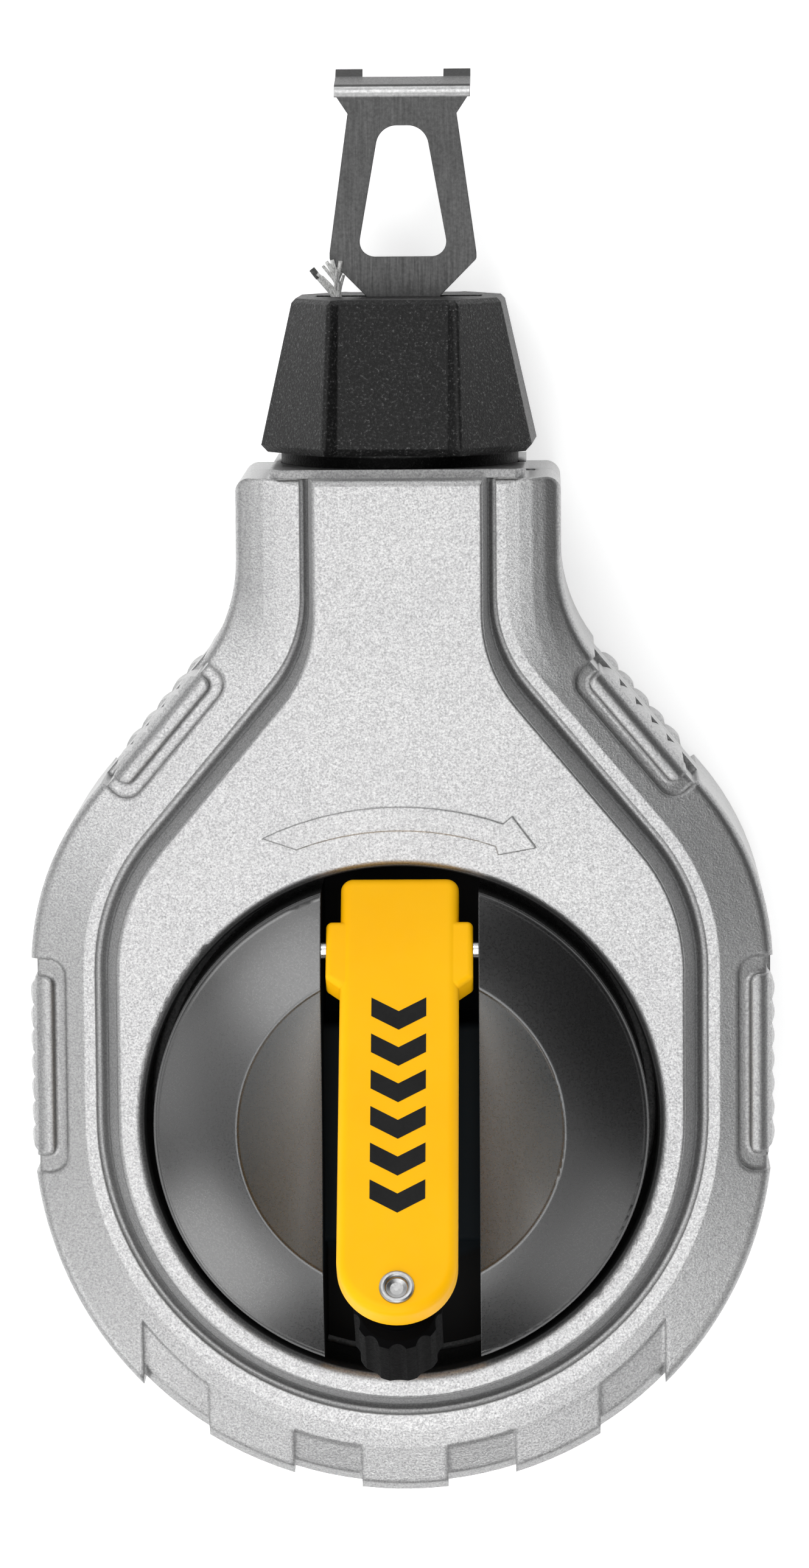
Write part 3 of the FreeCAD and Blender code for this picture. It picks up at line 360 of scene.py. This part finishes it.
def felt():
    """Pale wool felt."""
    s = Shader("wool_felt", metallic=0.0, roughness=0.95)
    s.main.inputs["Sheen Weight"].default_value = 0.4
    s.main.inputs["Sheen Roughness"].default_value = 0.5
    fibres = s.noise(0.35, 4.0, 0.7)
    s.colour(s.ramp(fibres, [(0.3, (0.36, 0.36, 0.35)), (0.7, (0.62, 0.62, 0.60))]))
    s.bump(fibres, 0.12, 0.8)
    return s.done()


def fibre(name, low, high):
    """Twisted line: short slanted fibres."""
    s = Shader(name, metallic=0.0, roughness=0.8)
    s.main.inputs["Sheen Weight"].default_value = 0.3
    threads = s.noise(0.16, 3.0, 0.6, (1.0, 0.35, 1.0))
    s.colour(s.ramp(threads, [(0.3, low), (0.68, high)]))
    s.bump(threads, 0.05, 0.8)
    return s.done()


def print_ink():
    """Dull black ink."""
    s = Shader("black_print", metallic=0.0)
    s.main.inputs["Specular IOR Level"].default_value = 0.2
    grain = s.noise(0.5, 2.0, 0.5)
    s.colour(s.ramp(s.noise(6.0), [(0.3, even(0.006)), (0.7, even(0.009))]))
    s.rough(s.grey(grain, 0.70, 0.60))
    return s.done()


def assign_materials():
    """Gives each CAD node its material."""
    paint(cast_metal(), "front_case", "rear_case")
    paint(dial_plastic(), "crank_dial")
    paint(moulded("knob_plastic", (0.0022, 0.0022, 0.0023), 0.35, 0.01, 0.50, gloss=0.012),
          "crank_knob")
    paint(cap_plastic(), "nozzle_cap")
    paint(moulded("spool_plastic", (0.08, 0.08, 0.085), 0.4, 0.02, 0.5), "spool",
          "wiper_retainer")
    paint(moulded("gear_plastic", (0.62, 0.60, 0.54), 0.5, 0.01, 0.45), "ring_gear",
          "planet_carrier", "planet_gear_1", "planet_gear_2", "planet_gear_3", "sun_gear")
    paint(coated_arm(), "crank_arm")
    paint(hook_steel(), "hook")
    paint(steel("bright_steel", 0.78, 0.28), "hinge_pin")
    paint(steel("rivet_steel", 0.40, 0.34), "knob_rivet")
    paint(steel("screw_steel", 0.55, 0.34), "case_screws", "gear_plate", "gear_plate_screws",
          "spool_axle", "dial_washer", "dial_screw", "planet_pins")
    paint(brass(), "dial_bushing", "spool_bushing")
    paint(rubber(), "case_gasket", "cap_seal_ring")
    paint(felt(), "shaft_seal", "felt_wiper")
    paint(fibre("line_fibre", (0.42, 0.42, 0.40), (0.82, 0.82, 0.80)), "wound_line",
          "line_lead", "line_knot", "line_tail")


# ---- pieces ---------------------------------------------------------------------------------

def arm_frame():
    """Turns points drawn on the flat arm, with its hinge at the origin, to the stored pose."""
    hinge = next(j for j in frame["joints"] if j["name"] == "arm_fold")["pos_m"]
    return Matrix.Translation(Vector(hinge)) @ Matrix.Rotation(math.radians(-ARM_STORED), 4, "X")


def arm_marks():
    """Plain chevrons printed on the arm's face."""
    place = arm_frame()
    count, first_mm, pitch_mm = 6, -14.6, 6.0
    half, rise, thick = 4.1 * MM, 2.3 * MM, 3.1 * MM
    points, faces = [], []
    for n in range(count):
        tip = (first_mm - pitch_mm * n) * MM
        start = len(points)
        for x, y in ((0, tip), (half, tip + rise), (half, tip + rise + thick),
                     (0, tip + thick), (-half, tip + rise + thick), (-half, tip + rise)):
            points.append(place @ Vector((x, y, ARM_FACE + PRINT_LIFT)))
        faces += [(start, start + 1, start + 2, start + 3),
                  (start + 3, start + 4, start + 5, start)]
    mesh = bpy.data.meshes.new("arm_chevrons")
    mesh.from_pydata(points, [], faces)
    made = add("arm_chevrons", mesh)
    mesh.materials.append(print_ink())
    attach(made, "arm")


def spline_through(curve, places, radii=None):
    """A smooth NURBS run with these places, in metres, as its control points."""
    spline = curve.splines.new("NURBS")
    spline.points.add(len(places) - 1)
    for n, (point, place) in enumerate(zip(spline.points, places)):
        point.co = (*place, 1.0)
        point.radius = radii[n] if radii else 1.0
    spline.order_u = 3
    spline.use_endpoint_u = True


def smooth_points(places):
    """Points read from the NURBS run through these places."""
    curve = bpy.data.curves.new("route", "CURVE")
    curve.dimensions = "3D"
    curve.resolution_u = 10
    spline_through(curve, places)
    holder = bpy.data.objects.new("route", curve)
    mesh = bpy.data.meshes.new_from_object(holder)
    found = [vertex.co.copy() for vertex in mesh.vertices]
    bpy.data.objects.remove(holder)
    return found


def in_metres(places):
    return [Vector(place) * MM for place in places]


def fibre_curve(name):
    """An empty curve as thick as a loose fibre."""
    curve = bpy.data.curves.new(name, "CURVE")
    curve.dimensions = "3D"
    curve.bevel_depth = FIBRE_R
    curve.bevel_resolution = 3
    return curve


def twisted_plies(curve):
    """The stretch where the line still holds together: three plies wound round its route."""
    plies, offset, twist_per_mm, thick = 3, 0.30 * MM, 1.5, 1.15
    route = smooth_points(in_metres((
        (-0.9, 112.6, 22.0), (-5.0, 113.2, 22.0), (-8.2, 116.4, 22.0),
        (-9.3, 120.6, 22.1), (-9.2, 123.6, 22.4))))
    for ply in range(plies):
        places = []
        turn = ply * 2 * math.pi / plies
        for n, centre in enumerate(route):
            ahead = route[min(n + 1, len(route) - 1)]
            along = (ahead - route[max(n - 1, 0)]).normalized()
            side = along.cross(Vector((0, 0, 1))).normalized()
            up = side.cross(along)
            places.append(centre + (side * math.cos(turn) + up * math.sin(turn)) * offset)
            turn += (ahead - centre).length / MM * twist_per_mm
        spline_through(curve, places, [thick] * len(places))


def loose_strands(curve):
    """The strands that the line's end opens into, each a little uneven."""
    chance = random.Random(7)
    steps, wander = 5, 0.12
    # each strand's tip, in millimetres, then its thickness and how far it bows
    tips = [(-13.2, 128.1, 22.4, 1.9, 0.3), (-12.4, 127.5, 23.0, 1.2, 0.8),
            (-11.7, 127.0, 22.0, 1.1, 0.5), (-11.5, 128.7, 23.8, 1.2, 0.9),
            (-11.0, 129.3, 22.6, 1.4, 0.7), (-10.5, 129.0, 24.4, 1.1, 0.5),
            (-10.1, 129.6, 23.2, 1.5, 0.2), (-9.6, 129.2, 22.3, 1.3, 0.1),
            (-9.3, 128.2, 24.2, 1.1, -0.2), (-8.8, 129.4, 23.0, 1.6, -0.4),
            (-8.3, 128.6, 22.2, 1.4, -0.6), (-8.4, 127.2, 21.6, 1.1, -0.4)]
    for x, y, z, thick, bow in tips:
        start = Vector((-9.2 + chance.uniform(-0.3, 0.3), 123.0,
                        22.4 + chance.uniform(-0.3, 0.3)))
        tip = Vector((x, y, z))
        places, radii = [], []
        for n in range(steps + 1):
            t = n / steps
            place = start.lerp(tip, t)
            place.x += bow * math.sin(t * math.pi)
            if 0 < n < steps:
                place += Vector((chance.uniform(-wander, wander), 0,
                                 chance.uniform(-wander, wander)))
            places.append(place * MM)
            radii.append(thick * (0.85 + 0.15 * math.sin(t * math.pi)))
        spline_through(curve, places, radii)


def frayed_line():
    """The line's loose end: a twisted run out of the slot that opens into strands."""
    curve = fibre_curve("frayed_line")
    curve.resolution_u = 6
    twisted_plies(curve)
    loose_strands(curve)
    made = add("frayed_line", curve)
    curve.materials.append(fibre("frayed_fibre", (0.30, 0.30, 0.29), (0.92, 0.92, 0.91)))
    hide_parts("line_tail")
    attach(made, "hook_end")


def stained_tip():
    """The dark stain on the end of the strand that reaches furthest to the side."""
    stain = fibre_curve("stained_tip")
    stain.use_fill_caps = True
    spline_through(stain, in_metres((
        (-12.2, 126.85, 22.4), (-12.7, 127.5, 22.42), (-13.25, 128.2, 22.4))), [2.0, 2.1, 2.0])
    tip = add("stained_tip", stain)
    stain.materials.append(fibre("stained_fibre", even(0.02), even(0.10)))
    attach(tip, "hook_end")


# ---- camera, light and floor ----------------------------------------------------------------

def camera():
    """Looks down on the reel from a little beyond its nozzle end."""
    data = bpy.data.cameras.new("view")
    data.sensor_fit = "VERTICAL"
    data.sensor_height = 36.0
    data.lens = 144.8
    data.clip_start = 0.05
    data.clip_end = 20.0
    target = Vector((0.0008, 0.0516, CASE_DEPTH_MM * MM))
    distance = 0.95
    tilt, aside = math.radians(7.0), math.radians(1.3)
    toward = Vector((math.sin(aside) * math.cos(tilt), math.sin(tilt),
                     math.cos(tilt) * math.cos(aside)))
    up = Vector((0, 1, 0))
    right = up.cross(toward).normalized()
    up = toward.cross(right)
    turn = Matrix((right, up, toward)).transposed().to_4x4()
    roll = Matrix.Rotation(math.radians(-0.44), 4, "Z")
    made = add("view", data)
    made.matrix_world = Matrix.Translation(target + toward * distance) @ turn @ roll
    bpy.context.scene.camera = made


def softbox(name, azimuth, height, size, power):
    """A square light aimed at the reel: degrees round it from the near side, and above it."""
    middle, distance = Vector((0.0, 0.04, 0.02)), 1.6
    turn, rise = math.radians(azimuth), math.radians(height)
    toward = Vector((math.sin(turn) * math.cos(rise), -math.cos(turn) * math.cos(rise),
                     math.sin(rise)))
    data = bpy.data.lights.new(name, "AREA")
    data.shape = "SQUARE"
    data.size = size
    data.energy = power
    made = add(name, data)
    made.location = middle + toward * distance
    made.rotation_euler = toward.to_track_quat("Z", "Y").to_euler()
    made.visible_camera = False


def lights():
    """High softboxes and low ones round the reel, and one overhead."""
    for name, azimuth, height, size, power in (
            ("overhead_box", 0, 90, 0.70, 4.5),
            ("near_box", 0, 62, 0.75, 7.0),
            ("near_right_box", 45, 62, 0.75, 1.0),
            ("far_left_box", 225, 62, 0.75, 6.3),
            ("left_box", 270, 62, 0.75, 1.1),
            ("low_right_box", 45, 35, 0.75, 2.5),
            ("low_far_box", 180, 35, 0.75, 5.4),
            ("low_far_left_box", 225, 35, 0.75, 1.4),
            ("low_left_box", 270, 35, 0.75, 2.7),
            ("low_near_left_box", 315, 35, 0.75, 6.4)):
        softbox(name, azimuth, height, size, power)


def background():
    """Pale near the horizon and below it, and dark higher up, where the softboxes light."""
    world = bpy.data.worlds.new("studio")
    world.use_nodes = True
    nodes, links = world.node_tree.nodes, world.node_tree.links
    where = nodes.new("ShaderNodeTexCoord")
    parts = nodes.new("ShaderNodeSeparateXYZ")
    height = nodes.new("ShaderNodeMapRange")
    height.inputs["From Min"].default_value = 0.10
    height.inputs["From Max"].default_value = 0.30
    height.inputs["To Min"].default_value = 1.0
    height.inputs["To Max"].default_value = 0.0
    links.new(where.outputs["Generated"], parts.inputs["Vector"])
    links.new(parts.outputs["Z"], height.inputs["Value"])
    back = nodes["Background"]
    back.inputs["Color"].default_value = (0.96, 0.97, 0.98, 1.0)
    links.new(height.outputs["Result"], back.inputs["Strength"])
    bpy.context.scene.world = world
    bpy.context.scene.view_settings.view_transform = "Standard"


def pale_floor():
    """A wide plain floor just under the reel."""
    mesh = bpy.data.meshes.new("floor")
    reach, drop = 6.0, 0.3 * MM
    mesh.from_pydata([(-reach, -reach, 0), (reach, -reach, 0), (reach, reach, 0),
                      (-reach, reach, 0)], [], [(0, 1, 2, 3)])
    floor = add("floor", mesh)
    floor.location.z = -drop
    s = Shader("pale_floor", metallic=0.0, roughness=0.9)
    s.colour(s.ramp(s.noise(400.0), [(0.3, even(0.93)), (0.7, even(0.95))]))
    s.main.inputs["Emission Color"].default_value = (1.0, 1.0, 1.0, 1.0)
    s.main.inputs["Emission Strength"].default_value = 0.5
    mesh.materials.append(s.done())


camera()
lights()
background()
pale_floor()
assign_materials()
arm_marks()
frayed_line()
stained_tip()
